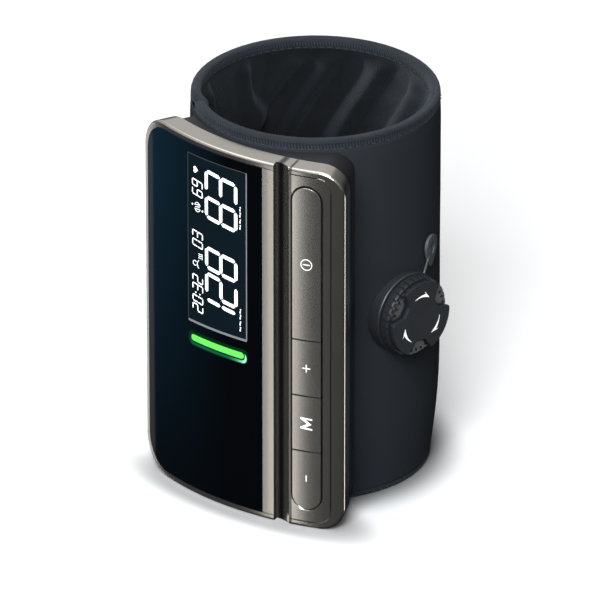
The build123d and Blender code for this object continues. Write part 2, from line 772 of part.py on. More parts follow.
# Cap with three flared notches that show the knob's toothed border
cap_radius, cap_edge = 14.8, 0.5
notch_floor, notch_reach = 9.0, 15.8        # from the axis to a notch's floor and past its mouth
notch_floor_half, notch_mouth_half = 2.2, 8.0
notch_corner = 1.1
notch_angles = (27, 147, 267)
with BuildPart() as knob_cap:
    with BuildSketch(dial_plane.offset(web_top + 0.05)) as lobes:
        Circle(cap_radius)
        for angle in notch_angles:
            with Locations(Rotation(0, 0, angle)):
                Polygon((notch_floor, -notch_floor_half), (notch_reach, -notch_mouth_half),
                        (notch_reach, notch_mouth_half), (notch_floor, notch_floor_half),
                        align=None, mode=Mode.SUBTRACT)
        fillet(lobes.vertices(), notch_corner)
    extrude(amount=knob_face - web_top - 0.05)
    cap_face = knob_cap.faces().filter_by(GeomType.PLANE).sort_by(Axis.X)[-1]
    fillet(cap_face.edges(), cap_edge)
write(knob_cap, "knob_cap")
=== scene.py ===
"""Looks of the tubeless upper-arm blood pressure monitor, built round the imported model.

Metres, +Z up, the cuff's axis is Z and the display faces -Y. Sizes written in millimetres are
multiplied by MM. Angles are degrees in plan from -Y towards +X, as the cuff's wall is laid out.
"""
from math import cos, exp, pi, radians, sin, sqrt

import bmesh
import bpy
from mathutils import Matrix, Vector, noise


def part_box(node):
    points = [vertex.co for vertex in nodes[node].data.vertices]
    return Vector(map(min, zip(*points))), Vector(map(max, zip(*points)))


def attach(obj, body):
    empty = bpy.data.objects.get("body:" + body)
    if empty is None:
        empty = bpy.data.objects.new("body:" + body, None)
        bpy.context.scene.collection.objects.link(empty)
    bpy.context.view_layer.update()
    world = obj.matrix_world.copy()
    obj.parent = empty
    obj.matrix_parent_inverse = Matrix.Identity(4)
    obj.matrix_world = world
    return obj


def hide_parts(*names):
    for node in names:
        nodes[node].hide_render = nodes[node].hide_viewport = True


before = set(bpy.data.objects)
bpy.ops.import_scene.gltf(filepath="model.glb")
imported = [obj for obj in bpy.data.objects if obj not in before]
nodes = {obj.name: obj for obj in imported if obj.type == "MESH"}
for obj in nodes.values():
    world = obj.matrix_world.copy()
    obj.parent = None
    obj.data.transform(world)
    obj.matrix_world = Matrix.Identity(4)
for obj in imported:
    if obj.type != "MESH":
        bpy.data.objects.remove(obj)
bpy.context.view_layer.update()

MM = 0.001
DEGREE = radians(1)
ROOT = "monitor_and_cuff"

# ---------------------------------------------------------------- sizes, in millimetres
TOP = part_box("top_binding")[1].z / MM
BINDING_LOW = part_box("top_binding")[0].z / MM
FOOT_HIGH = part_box("bottom_binding")[1].z / MM
SLEEVE_LOW, SLEEVE_HIGH = (corner.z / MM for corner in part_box("outer_sleeve"))
SLEEVE_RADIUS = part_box("outer_sleeve")[1].x / MM
LINING_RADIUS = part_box("inner_lining")[1].x / MM - 0.6
TUCK_HEIGHT, TUCK_DEPTH = 45.0, 3.6     # the wall curves inwards below this height, by this much
OVERLAP = -40.0                         # where the two ends of the cuff's fabric meet
STITCH_LENGTH = 1.9
FRONT_RADIUS = 112.3                    # the display's face is an upright arc about this centre
FRONT_CENTER = (3.7, 53.5)
GROOVE_WALL, GROOVE_FLANK = 11.4, 13.95  # angles of the groove's steep wall and of its far side
PANEL_ANGLE, PANEL_SIDE = 16.3, 22.1    # angles of the key panel's middle and of its right seam
PANEL_LOW, PANEL_HIGH = 2.5, 146.0      # heights of the key panel's two level seams
KEY_ANGLE = 17.3
KEY_PROUD = 0.4
KEY_SPLITS = (32.2, 55.3, 78.5)         # heights where one key ends and the next begins
DIAL_ANGLE, DIAL_HEIGHT = 81.6, 75.4
DIAL_FACE = 57.2                        # distance of the cap's face from the cuff's axis


# ---------------------------------------------------------------- camera, light and floor
def aim(item, place, target):
    """Put a camera or a light at a place and turn it to a target."""
    item.location = place
    item.rotation_euler = (Vector(target) - Vector(place)).to_track_quat("-Z", "Y").to_euler()
    bpy.context.scene.collection.objects.link(item)


def toward(azimuth, elevation, distance=1.0):
    """Vector from the object; azimuth 0 is -Y and 90 is +X."""
    a, e = radians(azimuth), radians(elevation)
    return Vector((sin(a) * cos(e), -cos(a) * cos(e), sin(e))) * distance


def make_camera():
    """Long lens from the object's front right, a little above it."""
    data = bpy.data.cameras.new("camera")
    data.lens, data.sensor_width = 600.0, 36.0
    data.clip_start, data.clip_end = 0.1, 50.0
    camera = bpy.data.objects.new("camera", data)
    target = Vector((-4.64, -3.58, 62.85)) * MM
    aim(camera, target + toward(37.6, 26.5, 3.782), target)
    bpy.context.scene.camera = camera


def softbox(name, azimuth, elevation, distance, size, power, color=(1, 1, 1)):
    """Rectangular lamp that faces the object's middle."""
    data = bpy.data.lights.new(name, "AREA")
    data.shape, data.size, data.size_y = "RECTANGLE", size[0], size[1]
    data.energy, data.color = power, color
    target = Vector((0, 0, 75 * MM))
    aim(bpy.data.objects.new(name, data), target + toward(azimuth, elevation, distance), target)


def map_range(tree, value, source, target, kind="LINEAR"):
    """Map a value from the source range to the target range, held at the ends."""
    made = tree.nodes.new("ShaderNodeMapRange")
    made.interpolation_type = kind
    tree.links.new(value, made.inputs["Value"])
    for socket, number in zip(("From Min", "From Max", "To Min", "To Max"), (*source, *target)):
        made.inputs[socket].default_value = number
    return made.outputs[0]


def vector_math(tree, operation, first, second=None):
    """Node that works on a linked vector and, where it needs one, a fixed one."""
    made = tree.nodes.new("ShaderNodeVectorMath")
    made.operation = operation
    tree.links.new(first, made.inputs[0])
    if second is not None:
        made.inputs[1].default_value = second
    return made.outputs["Value" if operation in ("LENGTH", "DOT_PRODUCT") else "Vector"]


def mix_colors(tree, factor, first, second):
    """Colour that runs from the first to the second as the factor goes from 0 to 1."""
    mix = tree.nodes.new("ShaderNodeMix")
    mix.data_type = "RGBA"
    tree.links.new(factor, mix.inputs["Factor"])
    ends = [socket for socket in mix.inputs if socket.type == "RGBA"]
    for end, color in zip(ends, (first, second)):
        end.default_value = (*color, 1)
    return [socket for socket in mix.outputs if socket.type == "RGBA"][0]


# Colour of the surroundings at a height: 0 is straight down, 0.5 the horizon and 1 straight up
SKY = ((0.0, (0.03, 0.033, 0.036)), (0.46, (0.025, 0.028, 0.031)),
       (0.56, (0.6, 0.605, 0.61)), (1.0, (1.0, 1.0, 1.0)))
BRIGHT_SIDE = -45.0                     # azimuth from which the surroundings are brightest
SKY_STRENGTH = (0.1, 0.95)              # on their dim side and on their bright side


def make_world():
    """Pale surroundings above the horizon, brighter to the front left, and dim ones below it."""
    world = bpy.data.worlds.new("studio")
    bpy.context.scene.world = world
    world.use_nodes = True
    tree = world.node_tree
    direction = tree.nodes.new("ShaderNodeTexCoord").outputs["Generated"]
    split = tree.nodes.new("ShaderNodeSeparateXYZ")
    tree.links.new(direction, split.inputs[0])
    ramp = tree.nodes.new("ShaderNodeValToRGB")
    tree.links.new(map_range(tree, split.outputs["Z"], (-1, 1), (0, 1)), ramp.inputs[0])
    stops = ramp.color_ramp.elements
    for height, _ in SKY[1:-1]:
        stops.new(height)
    for stop, (_, color) in zip(stops, SKY):
        stop.color = (*color, 1)
    background = tree.nodes["Background"]
    tree.links.new(ramp.outputs[0], background.inputs["Color"])
    facing = vector_math(tree, "DOT_PRODUCT", direction, toward(BRIGHT_SIDE, 0))
    strength = map_range(tree, facing, (-1, 1), SKY_STRENGTH)
    tree.links.new(strength, background.inputs["Strength"])


CONTACT_TONE = 0.86                     # plain tone of the paper in one painted contact shadow; the floor has two


def painted_contact_shadow(tree, center, stretch, start, end, depth):
    """Painted contact shadow on the paper round a centre: darker by depth out to start, and plain
    from end.

    Distances are in millimetres. stretch lengthens them along X and Y, which narrows the painted
    shadow.
    """
    spot = tree.nodes.new("ShaderNodeTexCoord").outputs["Object"]
    offset = vector_math(tree, "SUBTRACT", spot, (center[0] * MM, center[1] * MM, 0))
    stretched = vector_math(tree, "MULTIPLY", offset, (*stretch, 1.0))
    away = vector_math(tree, "LENGTH", stretched)
    tones = (CONTACT_TONE * (1 - depth), CONTACT_TONE)
    return map_range(tree, away, (start * MM, end * MM), tones, "SMOOTHSTEP")


def make_floor():
    """White paper with painted contact shadows where the cuff and the display unit stand on it."""
    mesh = bpy.data.meshes.new("floor")
    half = 6.0
    mesh.from_pydata([(-half, -half, 0), (half, -half, 0), (half, half, 0), (-half, half, 0)],
                     [], [(0, 1, 2, 3)])
    floor = bpy.data.objects.new("floor", mesh)
    bpy.context.scene.collection.objects.link(floor)
    paper = bpy.data.materials.new("paper")
    paper.use_nodes = True
    tree = paper.node_tree
    shader = tree.nodes["Principled BSDF"]
    shader.inputs["Roughness"].default_value = 0.9
    shader.inputs["Specular IOR Level"].default_value = 0.1
    # painted contact shadows round the cuff and round the display unit
    near_cuff = painted_contact_shadow(tree, (0.0, 0.0), (1.0, 1.0), 42.0, 60.0, 0.8)
    near_unit = painted_contact_shadow(tree, (6.0, -48.0), (1.0, 3.0), 42.0, 68.0, 0.55)
    tone = tree.nodes.new("ShaderNodeMath")
    tone.operation = "MULTIPLY"
    tree.links.new(near_cuff, tone.inputs[0])
    tree.links.new(near_unit, tone.inputs[1])
    tree.links.new(tone.outputs[0], shader.inputs["Base Color"])
    mesh.materials.append(paper)
    floor.visible_glossy = False
    floor.visible_diffuse = False
    floor.visible_shadow = False


make_camera()
bpy.context.scene.view_settings.view_transform = "Standard"
make_world()
softbox("overhead", -70, 82, 1.5, (1.8, 1.8), 16)
softbox("right", 27, 38, 1.5, (0.6, 0.8), 37, (0.94, 0.97, 1.0))
softbox("front_card", -11.5, -26, 1.5, (0.30, 0.9), 1.3, (1.0, 0.985, 0.96))
softbox("left_card", -89, -24, 1.5, (0.45, 0.9), 1.3)
softbox("back_card", -142, 28, 1.6, (1.6, 1.2), 2.1, (1.0, 0.985, 0.96))
softbox("side_card", 120, -24, 1.6, (0.6, 0.6), 3.6)
make_floor()


# ---------------------------------------------------------------- material helpers
class Finish:
    """A node material with a Principled shader, built up step by step."""

    def __init__(self, name, color, roughness, metallic=0.0, specular=0.5):
        self.material = bpy.data.materials.new(name)
        self.material.use_nodes = True
        self.tree = self.material.node_tree
        self.shader = self.tree.nodes["Principled BSDF"]
        self.set("Base Color", (*color, 1))
        self.set("Roughness", roughness)
        self.set("Metallic", metallic)
        self.set("Specular IOR Level", specular)
        self.color = color
        self.height = None

    def set(self, socket, value):
        self.shader.inputs[socket].default_value = value

    def link(self, output, node, socket):
        self.tree.links.new(output, node.inputs[socket])

    def node(self, kind, **settings):
        made = self.tree.nodes.new(kind)
        for key, value in settings.items():
            setattr(made, key, value)
        return made

    def math(self, operation, first, second=None):
        """Sum, product and so on of two values, each a number or another node's output."""
        made = self.node("ShaderNodeMath", operation=operation)
        for place, value in enumerate((first, second)):
            if isinstance(value, (int, float)):
                made.inputs[place].default_value = value
            elif value is not None:
                self.link(value, made, place)
        return made.outputs[0]

    def place(self):
        """Position in the object's frame, in metres."""
        return self.node("ShaderNodeTexCoord").outputs["Object"]

    def axes(self):
        split = self.node("ShaderNodeSeparateXYZ")
        self.link(self.place(), split, 0)
        return split.outputs

    def noise(self, size, detail=2.0, stretch=(1, 1, 1)):
        """Noise whose features are about size millimetres across."""
        mapping = self.node("ShaderNodeMapping")
        mapping.inputs["Scale"].default_value = [1 / (size * MM) * s for s in stretch]
        self.link(self.place(), mapping, "Vector")
        texture = self.node("ShaderNodeTexNoise")
        texture.inputs["Scale"].default_value = 1.0
        texture.inputs["Detail"].default_value = detail
        self.link(mapping.outputs[0], texture, "Vector")
        return texture.outputs["Fac"]

    def span(self, value, low, high, start=0.0, end=1.0):
        """Map a value from start..end to low..high, held at the ends."""
        return map_range(self.tree, value, (start, end), (low, high))

    def tint(self, value, low, high):
        """Base colour that runs from low times the colour to high times it."""
        dark, pale = ([min(1.0, c * scale) for c in self.color] for scale in (low, high))
        self.link(mix_colors(self.tree, value, dark, pale), self.shader, "Base Color")

    def glow(self, value, dark, pale, strength):
        """Colour and light that run from dark to pale as the value goes from 0 to 1."""
        color = mix_colors(self.tree, value, dark, pale)
        self.link(color, self.shader, "Base Color")
        self.link(color, self.shader, "Emission Color")
        self.set("Emission Strength", strength)

    def sheen(self, weight, tint):
        """Pale bloom of a napped cloth at glancing angles."""
        self.set("Sheen Weight", weight)
        self.set("Sheen Roughness", 0.4)
        self.set("Sheen Tint", tint)

    def rough(self, value, low, high):
        self.link(self.span(value, low, high), self.shader, "Roughness")

    def bump(self, value, depth):
        """Add relief of this many millimetres."""
        made = self.node("ShaderNodeBump")
        made.inputs["Distance"].default_value = depth * MM
        made.inputs["Strength"].default_value = 1.0
        self.link(value, made, "Height")
        if self.height is not None:
            self.link(self.height, made, "Normal")
        self.height = made.outputs["Normal"]
        self.link(self.height, self.shader, "Normal")

    def weave_axes(self):
        """Distance along and across the cloth, in millimetres, from the mesh's own map."""
        split = self.node("ShaderNodeSeparateXYZ")
        self.link(self.node("ShaderNodeUVMap", uv_map="cloth").outputs[0], split, 0)
        return split.outputs["X"], split.outputs["Y"]


def paint(name, color, shade):
    """Metallic lacquer with a faint mottle. shade(made) gives the painted shade that darkens it, 0 to
    1.
    """
    roughness = 0.2
    made = Finish(name, color, roughness, metallic=0.97)
    mottle = made.span(made.noise(1.6, 1), 0.985, 1.015, 0.3, 0.7)
    light = made.math("MULTIPLY", mottle, made.math("SUBTRACT", 1.0, shade(made)))
    made.tint(light, 0.0, 1.0)
    made.rough(made.noise(25.0, 1), roughness - 0.015, roughness + 0.015)
    made.set("Coat Weight", 0.08)
    made.set("Coat Roughness", 0.2)
    return made.material


def band(made, value, unit, middle, near, far):
    """1 within near of the middle value, falling evenly to 0 at far from it, all three in unit."""
    off = made.math("ABSOLUTE", made.math("SUBTRACT", value, middle * unit))
    return made.span(off, 1.0, 0.0, near * unit, far * unit)


def painted_groove_shade(made):
    """Painted shade on the housing, 0 to 1: in the groove beside its steep wall, on its far side, and
    in the key panel's seams.
    """
    axes = made.axes()
    height = axes["Z"]
    across = made.math("SUBTRACT", axes["X"], FRONT_CENTER[0] * MM)
    inward = made.math("SUBTRACT", FRONT_CENTER[1] * MM, axes["Y"])
    angle = made.math("ARCTAN2", across, inward)
    # painted shade in the groove: deep beside its steep wall, lighter on its far side
    wall = made.math("MULTIPLY", band(made, angle, DEGREE, GROOVE_WALL, 0.3, 0.95), 0.85)
    flank = made.math("MULTIPLY", band(made, angle, DEGREE, GROOVE_FLANK, 0.2, 0.35), 0.75)
    groove = made.math("ADD", wall, flank)
    middle, half = 74.3, 65.5
    # painted shade in the key panel's seams
    upright = made.math("MULTIPLY", band(made, angle, DEGREE, PANEL_SIDE, 0.08, 0.16),
                        band(made, height, MM, middle, half, half + 1))
    level = made.math("ADD", band(made, height, MM, PANEL_HIGH, 0.17, 0.3),
                      band(made, height, MM, PANEL_LOW, 0.17, 0.3))
    level = made.math("MULTIPLY", level, band(made, angle, DEGREE, PANEL_ANGLE, 2.6, 2.9))
    seams = made.math("MULTIPLY", made.math("ADD", upright, level), 0.6)
    on_face = made.span(inward, 0.0, 1.0, 100 * MM, 103 * MM)
    return made.math("MULTIPLY", made.math("MAXIMUM", groove, seams), on_face)


def painted_split_shade(made):
    """Painted shade on the keys: dark hairlines in the gaps where one ends and the next begins."""
    height = made.axes()["Z"]
    first, second, third = (band(made, height, MM, split, 0.22, 0.42) for split in KEY_SPLITS)
    lines = made.math("ADD", made.math("ADD", first, second), third)
    return made.math("MULTIPLY", lines, 0.9)


def moulded(name, color, roughness=0.5, grain=0.35, depth=0.02, specular=0.5):
    """Moulded plastic or rubber with a fine spark-eroded grain."""
    made = Finish(name, color, roughness, 0.0, specular)
    made.tint(made.noise(9.0), 0.88, 1.12)
    made.rough(made.noise(1.5), roughness - 0.08, roughness + 0.08)
    made.bump(made.noise(grain, 3), depth)
    return made.material


def metal(name, color, roughness=0.3):
    """Turned or drawn metal with fine lines round its axis."""
    made = Finish(name, color, roughness, 1.0)
    made.tint(made.noise(2.0), 0.9, 1.05)
    made.rough(made.noise(0.3, 2, (1, 1, 6)), roughness - 0.08, roughness + 0.1)
    made.bump(made.noise(0.15, 2, (1, 1, 8)), 0.003)
    return made.material


def smoked_glass():
    """Almost black cover glass with a painted reflection: a bluish glow, stronger towards its upper
    left.
    """
    made = Finish("smoked_glass", (0.0016, 0.0022, 0.003), 0.06, 0.0, 0.04)
    axes = made.axes()
    # painted reflection: a glow that is strongest at the glass's upper left
    left = made.span(axes["X"], 1.0, 0.0, -46 * MM, 4 * MM)
    up = made.span(axes["Z"], 0.15, 1.0, 10 * MM, 125 * MM)
    made.glow(made.math("MULTIPLY", left, up), (0.0010, 0.0013, 0.0018), (0.0035, 0.0125, 0.0215),
              0.42)
    made.rough(made.noise(14.0), 0.04, 0.09)
    made.bump(made.noise(20.0, 1), 0.004)
    return made.material


def printed(name, color, glow=0.0, roughness=0.4):
    """Printed or lit mark with a slightly uneven edge of ink. glow gives it light of its own, which
    is painted light where the mark is only ink.
    """
    made = Finish(name, color, roughness, 0.0, 0.05)
    made.tint(made.noise(0.4, 1), 0.93, 1.0)
    if glow:
        made.set("Emission Color", (*color, 1))
        made.set("Emission Strength", glow)
    return made.material


def painted_lip_glow():
    """Painted light on the lip of the lamp's slot: a glow that is dark green at its left, running to
    pale green at its right.
    """
    made = Finish("lamp_lip", (0.008, 0.10, 0.04), 0.3, 0.0, 0.05)
    along = made.span(made.axes()["X"], 0.0, 1.0, 2 * MM, 12.5 * MM)
    made.glow(made.math("POWER", along, 3.0), (0.002, 0.062, 0.026), (0.24, 0.66, 0.42), 0.8)
    return made.material


def knit(name, color):
    """Fine warp knit: rows of slanted stitches, with painted light on their crowns and painted shade
    between them.
    """
    pitch = 0.45
    made = Finish(name, color, 0.8, 0.0, 0.12)
    along, across = made.weave_axes()
    row = made.math("MULTIPLY", across, 2 * pi / pitch)
    slant = made.math("MULTIPLY", made.math("SINE", made.math("MULTIPLY", row, 0.5)), 0.7)
    column = made.math("ADD", made.math("MULTIPLY", along, 2 * pi / pitch), slant)
    stitch = made.math("MULTIPLY", made.math("ABSOLUTE", made.math("SINE", column)),
                       made.math("ABSOLUTE", made.math("SINE", row)))
    fuzz = made.noise(0.25, 3)
    relief = made.math("ADD", stitch, made.math("MULTIPLY", fuzz, 0.5))
    large = made.noise(18.0, 3)
    # tone: painted light and shade that follow the stitch relief, times a slow change of the cloth's
    # own tone
    tone = made.math("MULTIPLY", made.span(relief, 0.35, 1.0, 0.2, 1.2),
                     made.span(large, 0.8, 1.1, 0.3, 0.7))
    made.tint(tone, 0.75, 1.25)
    made.bump(relief, 0.05)
    made.rough(large, 0.74, 0.86)
    return made.material


def open_mesh(name, color, pitch=0.8):
    """Spacer mesh: a honeycomb of small holes, dark with painted shade, between paler threads."""
    made = Finish(name, color, 0.85, 0.0, 0.1)
    along, across = made.weave_axes()
    column = made.math("MULTIPLY", along, 2 * pi / pitch)
    row = made.math("MULTIPLY", across, 2 * pi / (pitch * 1.2))
    even = made.math("MULTIPLY", made.math("COSINE", column), made.math("COSINE", row))
    fuzz = made.noise(0.3, 3)
    thread = made.math("ADD", made.span(even, 0.0, 1.0, -0.55, 0.5),
                       made.math("MULTIPLY", made.math("SUBTRACT", fuzz, 0.5), 0.5))
    large = made.noise(16.0, 3)
    # tone: painted shade in the holes, following the threads' relief, times a slow change of the
    # mesh's own tone
    tone = made.math("MULTIPLY", made.span(thread, 0.0, 1.0, -0.2, 1.1),
                     made.span(large, 0.75, 1.1, 0.3, 0.7))
    made.tint(tone, 0.25, 1.9)
    made.bump(thread, 0.16)
    made.sheen(0.12, (0.75, 0.85, 0.95, 1))
    return made.material


def tape(name, color):
    """Folded binding tape: a fine slanting rib along its length, with painted light on the ribs and
    painted shade in the hollows between them.
    """
    rib_pitch, cross_pitch = 1.2, 0.9
    made = Finish(name, color, 0.8, 0.0, 0.1)
    along, across = made.weave_axes()
    slant = made.math("ADD", along, made.math("MULTIPLY", across, 0.8))
    rib = made.math("ABSOLUTE", made.math("SINE", made.math("MULTIPLY", slant, pi / rib_pitch)))
    cross = made.math("SINE", made.math("MULTIPLY", across, pi / cross_pitch))
    cross = made.math("ABSOLUTE", cross)
    relief = made.math("MULTIPLY", rib, made.span(cross, 0.5, 1.0))
    fuzz = made.noise(0.3, 3)
    relief = made.math("ADD", relief, made.math("MULTIPLY", fuzz, 0.6))
    # tone: painted light and shade that follow the ribs' relief, times a slow change of the tape's
    # own tone
    tone = made.math("MULTIPLY", made.span(relief, 0.0, 1.0, 0.25, 1.2),
                     made.span(made.noise(7.0, 3), 0.8, 1.1, 0.3, 0.7))
    made.tint(tone, 0.35, 2.4)
    made.bump(relief, 0.16)
    made.sheen(0.06, (0.8, 0.88, 0.95, 1))
    return made.material


# ---------------------------------------------------------------- mesh helpers
def new_piece(name, mesh_data, finish, body=ROOT, smooth=True):
    """Link a mesh as a piece, give it its finish and let it ride on a body."""
    piece = bpy.data.objects.new(name, mesh_data)
    bpy.context.scene.collection.objects.link(piece)
    mesh_data.materials.append(finish)
    if smooth:
        mesh_data.polygons.foreach_set("use_smooth", [True] * len(mesh_data.polygons))
    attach(piece, body)
    return piece


def grid_mesh(name, rows, cloth, joined=False):
    """Tube of quads through loops of points, capped at both ends or joined end to end.

    cloth(row, column) gives a corner's place on the cloth, in millimetres.
    """
    count = len(rows[0])
    points = [point for row in rows for point in row]
    faces = []
    cells = []
    for i in range(len(rows) if joined else len(rows) - 1):
        for j in range(count):
            k, m = (i + 1) % len(rows), (j + 1) % count
            faces.append((i * count + j, i * count + m, k * count + m, k * count + j))
            cells.append(((i, j), (i, j + 1), (i + 1, j + 1), (i + 1, j)))
    if not joined:
        first, last = range(count), range((len(rows) - 1) * count, len(rows) * count)
        faces += [tuple(reversed(first)), tuple(last)]
        cells += [tuple((0, j) for j in reversed(range(count))),
                  tuple((len(rows) - 1, j) for j in range(count))]
    mesh = bpy.data.meshes.new(name)
    mesh.from_pydata([Vector(p) * MM for p in points], [], faces)
    layer = mesh.uv_layers.new(name="cloth")
    flat = [value for cell in cells for corner in cell for value in cloth(*corner)]
    layer.data.foreach_set("uv", flat)
    mesh.validate()
    fixed = bmesh.new()
    fixed.from_mesh(mesh)
    bmesh.ops.recalc_face_normals(fixed, faces=fixed.faces)
    fixed.to_mesh(mesh)
    fixed.free()
    return mesh


def wall_radius(radius, height):
    """Radius of a wall layer at a height: straight above the tuck, an arc below it."""
    bend = (TUCK_HEIGHT**2 + TUCK_DEPTH**2) / (2 * TUCK_DEPTH)
    drop = max(TUCK_HEIGHT - height, 0.0)
    return radius - bend + sqrt(bend**2 - drop**2)


def polar(radius, angle, height):
    """Point at a distance from the cuff's axis, in millimetres."""
    return (radius * sin(radians(angle)), -radius * cos(radians(angle)), height)


def smooth_step(value):
    """0 up to 0 and 1 from 1, with an S-shaped rise between."""
    value = min(max(value, 0.0), 1.0)
    return value * value * (3 - 2 * value)


# ---------------------------------------------------------------- sleeve
def sleeve_offset(angle, height):
    """Small outward and inward swells of the sleeve's fabric, in millimetres."""
    place = Vector((sin(radians(angle)) * 1.3, cos(radians(angle)) * 1.3, height / 55.0))
    swell = 0.16 * noise.noise(place * 1.7)
    flap = 0.28 * exp(-((angle - OVERLAP) % 360.0) / 7.0)
    pulled_in = 0.25 * exp(-((height - SLEEVE_HIGH) / 2.5) ** 2)
    return swell - 0.28 + flap - pulled_in


def make_sleeve():
    """Outer sleeve: a wrapped sheet whose outer end lies over its inner end."""
    columns, rows = 300, 72
    thickness, gap = 0.75, 0.02
    low, high = SLEEVE_LOW - 0.15, SLEEVE_HIGH + 1.2
    hem = wall_radius(SLEEVE_RADIUS, low) - 0.45
    outside = [low + (high - low) * i / rows for i in range(rows + 1)]
    sections = []
    for j in range(columns + 1):
        angle = OVERLAP + gap + (360 - 2 * gap) * j / columns
        section = [polar(wall_radius(SLEEVE_RADIUS - thickness, z), angle, z)
                   for z in outside[::-8]]
        section.append(polar(hem - 0.12, angle, low - 0.28))
        section.append(polar(hem + 0.22, angle, low - 0.2))
        section += [polar(wall_radius(SLEEVE_RADIUS, z) + sleeve_offset(angle, z), angle, z)
                    for z in outside]
        sections.append(section)

    def cloth(i, j):
        return 2 * pi * SLEEVE_RADIUS * i / columns, sections[0][j % len(sections[0])][2]

    mesh = grid_mesh("sleeve", sections, cloth)
    piece = new_piece("sleeve", mesh, SLEEVE_KNIT)
    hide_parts("outer_sleeve")


# ---------------------------------------------------------------- lining
# Soft folds of the lining: angle and height at each end, how far it stands in, and its width
FOLDS = (
    ((256, 146), (247, 120), 2.2, 3.2),
    ((226, 146), (262, 100), 2.4, 4.2),
    ((205, 147), (250, 86), 2.6, 4.6),
    ((177, 147), (222, 84), 2.8, 4.8),
    ((150, 147), (190, 92), 1.7, 4.4),
    ((128, 146), (165, 104), 1.2, 4.4),
    ((290, 146), (262, 104), 1.8, 3.6),
    ((100, 147), (118, 96), 1.3, 5.0),
    ((60, 147), (76, 90), 1.4, 5.0),
    ((20, 147), (38, 88), 1.4, 5.0),
    ((-30, 147), (-8, 92), 1.4, 5.0),
)


def fold_height(angle, height):
    """How far the lining's folds stand in from the wall at a point, in millimetres."""
    total = 0.0
    for (a0, z0), (a1, z1), rise, width in FOLDS:
        across = ((angle - a0 + 180) % 360 - 180) * DEGREE * LINING_RADIUS
        run = (a1 - a0) * DEGREE * LINING_RADIUS
        length = sqrt(run**2 + (z1 - z0) ** 2)
        ux, uz = run / length, (z1 - z0) / length
        along = (across * ux + (height - z0) * uz) / length
        bow = 2.2 * sin(pi * min(max(along, 0.0), 1.0))
        aside = -across * uz + (height - z0) * ux - bow
        fade = smooth_step((1.25 - along) / 0.7) * smooth_step((along + 0.08) / 0.18)
        ridge = exp(-((aside / width) ** 2))
        hollow = 0.75 * exp(-(((aside + 1.7 * width) / (1.1 * width)) ** 2))
        total += 1.5 * rise * fade * (ridge - hollow)
    return total


def make_lining():
    """Mesh lining of the arm opening, rucked into soft slanting folds."""
    columns, rows, back_rows = 420, 150, 12
    thickness = 0.6
    low, high = SLEEVE_LOW, SLEEVE_HIGH + 1.5
    sections = []
    for j in range(columns):
        angle = OVERLAP + 360 * j / columns
        inside = []
        for i in range(rows + 1):
            z = low + (high - low) * i / rows
            held = smooth_step((high - z) / 7.0) * smooth_step((z - low) / 10.0)
            loose = 0.35 * noise.noise(Vector(polar(1.0, angle, z / 14.0)) * 2.1)
            inward = held * (max(fold_height(angle, z), -0.35) + loose + 0.15)
            inside.append(polar(wall_radius(LINING_RADIUS, z) + 0.25 - inward, angle, z))
        levels = [high - (high - low) * i / back_rows for i in range(back_rows + 1)]
        back = [polar(wall_radius(LINING_RADIUS + thickness, z), angle, z) for z in levels]
        sections.append(inside + back)

    def cloth(i, j):
        return 2 * pi * LINING_RADIUS * i / columns, sections[0][j % len(sections[0])][2]

    mesh = grid_mesh("lining", sections, cloth, joined=True)
    piece = new_piece("lining", mesh, LINING_MESH)
    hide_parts("inner_lining")


# ---------------------------------------------------------------- bindings
def pad_section(width, height, corner, steps=6):
    """Rounded rectangle about the origin, as (outward, up) points."""
    points = []
    for x, z, start in ((1, 1, 0), (-1, 1, 90), (-1, -1, 180), (1, -1, 270)):
        for k in range(steps + 1):
            turn = radians(start + 90 * k / steps)
            points.append((x * (width / 2 - corner) + corner * cos(turn),
                           z * (height / 2 - corner) + corner * sin(turn)))
    return points


def tape_ring(name, low, high, shift, corner, tuck, drop):
    """Padded tape round one end of the wall, its outside shifted outwards from the sleeve's.

    Its last stretch moves in by tuck and down by drop, to lie behind its first.
    """
    middle = (low + high) / 2
    outer = wall_radius(SLEEVE_RADIUS, middle) + shift
    inner = wall_radius(LINING_RADIUS, middle) - 0.1
    section = pad_section(outer - inner, high - low, corner)
    steps, puckers = 360, 61
    first_taper, last_taper, last_stretch = 0.006, 0.008, 0.045
    start, sweep = OVERLAP + 1.2, 360 + 4.0
    rings = []
    for i in range(steps + 1):
        share = i / steps
        angle = start + sweep * share
        behind = smooth_step((share - 1 + last_stretch) / last_stretch)
        begin = smooth_step(share / first_taper)
        ending = smooth_step((1 - share) / last_taper)
        size = (0.35 + 0.65 * begin) * (0.45 + 0.55 * ending)
        unevenness = 0.03 * noise.noise(Vector((share * 40, 7, 0)))
        puff = 1 + 0.02 * sin(share * 2 * pi * puckers) + unevenness
        width = size * puff * (1 - 0.45 * behind)
        radius = (outer + inner) / 2 - tuck * behind
        rings.append([polar(radius + x * width, angle, middle - drop * behind + z * size)
                      for x, z in section])

    def cloth(i, j):
        return 2 * pi * outer * i / steps, (high - low) * 3 * j / len(section)

    return new_piece(name, grid_mesh(name, rings, cloth), TAPE)


